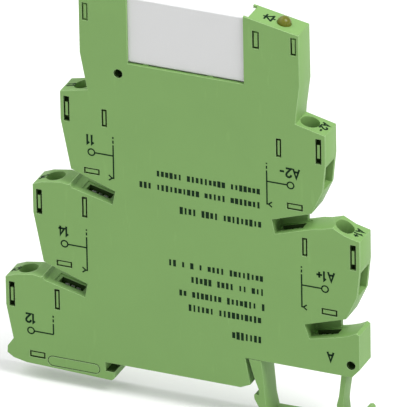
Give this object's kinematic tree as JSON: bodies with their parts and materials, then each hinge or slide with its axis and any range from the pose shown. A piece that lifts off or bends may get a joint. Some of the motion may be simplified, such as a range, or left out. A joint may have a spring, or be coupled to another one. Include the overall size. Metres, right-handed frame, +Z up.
{
  "type": "plug-in relay interface module",
  "caption": "Slim rail-mounted relay module: stepped green terminal housing with screw clamps, a plug-in relay in the top pocket, an indicator, an eject lever and a sprung rail latch.",
  "frame": {"origin": "middle of the rail seat, in the mid-plane of the thickness", "axes": "+Z up away from the rail, +X along the module towards the input side and the latch, -Y out of the printed front face"},
  "size_m": [0.0812, 0.0062, 0.0944],
  "materials": {
    "housing_green": "satin",
    "relay_case": "satin",
    "relay_dark": "matte",
    "plated_steel": "satin",
    "copper_strip": "satin",
    "contact_brass": "satin",
    "contact_silver": "polished",
    "coil_wire": "gloss",
    "board_green": "satin",
    "chip_black": "matte",
    "capacitor_tan": "gloss",
    "card_ivory": "satin",
    "indicator_lens": "gloss"
  },
  "bodies": {
    "housing": {"housing_base": "housing_green", "housing_cover": "housing_green", "busbar_11": "copper_strip", "busbar_14": "copper_strip", "busbar_12": "copper_strip", "busbar_a2": "copper_strip", "busbar_a1": "copper_strip", "bridge_contact_14": "contact_brass", "bridge_contact_12": "contact_brass", "bridge_contact_a1": "contact_brass", "bridge_contact_a": "contact_brass", "socket_contact_12": "contact_brass", "socket_contact_11": "contact_brass", "socket_contact_14": "contact_brass", "socket_contact_coil_a": "contact_brass", "socket_contact_coil_b": "contact_brass", "circuit_board": "board_green", "series_resistors": "chip_black", "bridge_rectifier": "chip_black", "freewheel_diode": "chip_black", "smoothing_capacitor": "capacitor_tan", "led": "indicator_lens"},
    "rail_latch": {"rail_latch": "housing_green"},
    "eject_lever": {"eject_lever": "housing_green"},
    "relay": {"relay_cover": "relay_case", "relay_base": "relay_dark", "coil_bobbin": "relay_dark", "coil_winding": "coil_wire", "coil_core": "plated_steel", "yoke": "plated_steel", "armature_spring": "plated_steel", "contact_com": "contact_brass", "contact_nc": "contact_brass", "contact_no": "contact_brass", "rivet_nc": "contact_silver", "rivet_no": "contact_silver", "coil_pins": "contact_brass"},
    "armature": {"armature": "plated_steel"},
    "actuator_card": {"actuator_card": "card_ivory"},
    "moving_contact": {"moving_contact": "copper_strip", "moving_rivet": "contact_silver"},
    "clamp_screw_11": {"clamp_screw_11": "plated_steel"},
    "clamp_cage_11": {"clamp_cage_11": "plated_steel"},
    "clamp_screw_14": {"clamp_screw_14": "plated_steel"},
    "clamp_cage_14": {"clamp_cage_14": "plated_steel"},
    "clamp_screw_12": {"clamp_screw_12": "plated_steel"},
    "clamp_cage_12": {"clamp_cage_12": "plated_steel"},
    "clamp_screw_a2": {"clamp_screw_a2": "plated_steel"},
    "clamp_cage_a2": {"clamp_cage_a2": "plated_steel"},
    "clamp_screw_a1": {"clamp_screw_a1": "plated_steel"},
    "clamp_cage_a1": {"clamp_cage_a1": "plated_steel"}
  },
  "joints": [
    {"name": "rail_latch_slide", "type": "slide", "parent": "housing", "child": "rail_latch", "axis": [1, 0, 0], "range_m": [0, 0.0012], "stiffness_N_per_m": 1500, "springref_m": -0.002},
    {"name": "relay_lift", "type": "slide", "parent": "housing", "child": "relay", "axis": [0, 0, 1], "range_m": [0, 0.02]},
    {"name": "eject_lever_tilt", "type": "hinge", "parent": "housing", "child": "eject_lever", "pos_m": [-0.0162, 0, 0.0722], "axis": [0, -1, 0], "range_deg": [0, 9.01]},
    {"name": "card_shift", "type": "slide", "parent": "relay", "child": "actuator_card", "axis": [1, 0, 0], "range_m": [0, 0.00067], "stiffness_N_per_m": 5, "springref_m": -0.0027},
    {"name": "armature_pull", "type": "hinge", "parent": "relay", "child": "armature", "pos_m": [-0.00295, 0, 0.0756], "axis": [0, 1, 0], "range_deg": [0, 4.26]},
    {"name": "contact_swing", "type": "hinge", "parent": "relay", "child": "moving_contact", "pos_m": [-0.0076, 0, 0.0748], "axis": [0, 1, 0], "range_deg": [0, 3.92]},
    {"name": "cage_rise_11", "type": "slide", "parent": "housing", "child": "clamp_cage_11", "axis": [-0.1908, 0, 0.9816], "range_m": [0, 0.0018]},
    {"name": "screw_turn_11", "type": "hinge", "parent": "housing", "child": "clamp_screw_11", "pos_m": [-0.022, 0, 0.0623], "axis": [0.1908, 0, -0.9816], "range_deg": [0, 1440.1]},
    {"name": "cage_rise_14", "type": "slide", "parent": "housing", "child": "clamp_cage_14", "axis": [-0.1908, 0, 0.9816], "range_m": [0, 0.0018]},
    {"name": "screw_turn_14", "type": "hinge", "parent": "housing", "child": "clamp_screw_14", "pos_m": [-0.02877, 0, 0.0392], "axis": [0.1908, 0, -0.9816], "range_deg": [0, 1440.1]},
    {"name": "cage_rise_12", "type": "slide", "parent": "housing", "child": "clamp_cage_12", "axis": [-0.1908, 0, 0.9816], "range_m": [0, 0.0018]},
    {"name": "screw_turn_12", "type": "hinge", "parent": "housing", "child": "clamp_screw_12", "pos_m": [-0.03554, 0, 0.0161], "axis": [0.1908, 0, -0.9816], "range_deg": [0, 1440.1]},
    {"name": "cage_rise_a2", "type": "slide", "parent": "housing", "child": "clamp_cage_a2", "axis": [0.1908, 0, 0.9816], "range_m": [0, 0.0018]},
    {"name": "screw_turn_a2", "type": "hinge", "parent": "housing", "child": "clamp_screw_a2", "pos_m": [0.02848, 0, 0.0626], "axis": [-0.1908, 0, -0.9816], "range_deg": [0, 1440.1]},
    {"name": "cage_rise_a1", "type": "slide", "parent": "housing", "child": "clamp_cage_a1", "axis": [0.1908, 0, 0.9816], "range_m": [0, 0.0018]},
    {"name": "screw_turn_a1", "type": "hinge", "parent": "housing", "child": "clamp_screw_a1", "pos_m": [0.03593, 0, 0.0393], "axis": [-0.1908, 0, -0.9816], "range_deg": [0, 1440.1]}
  ],
  "couplings": [
    {"joint": "eject_lever_tilt", "follows": "relay_lift", "rad_per_m": 7.854},
    {"joint": "armature_pull", "follows": "card_shift", "rad_per_m": 110.91},
    {"joint": "contact_swing", "follows": "card_shift", "rad_per_m": 101.88},
    {"joint": "screw_turn_11", "follows": "cage_rise_11", "rad_per_m": 13963},
    {"joint": "screw_turn_14", "follows": "cage_rise_14", "rad_per_m": 13963},
    {"joint": "screw_turn_12", "follows": "cage_rise_12", "rad_per_m": 13963},
    {"joint": "screw_turn_a2", "follows": "cage_rise_a2", "rad_per_m": 13963},
    {"joint": "screw_turn_a1", "follows": "cage_rise_a1", "rad_per_m": 13963}
  ]
}
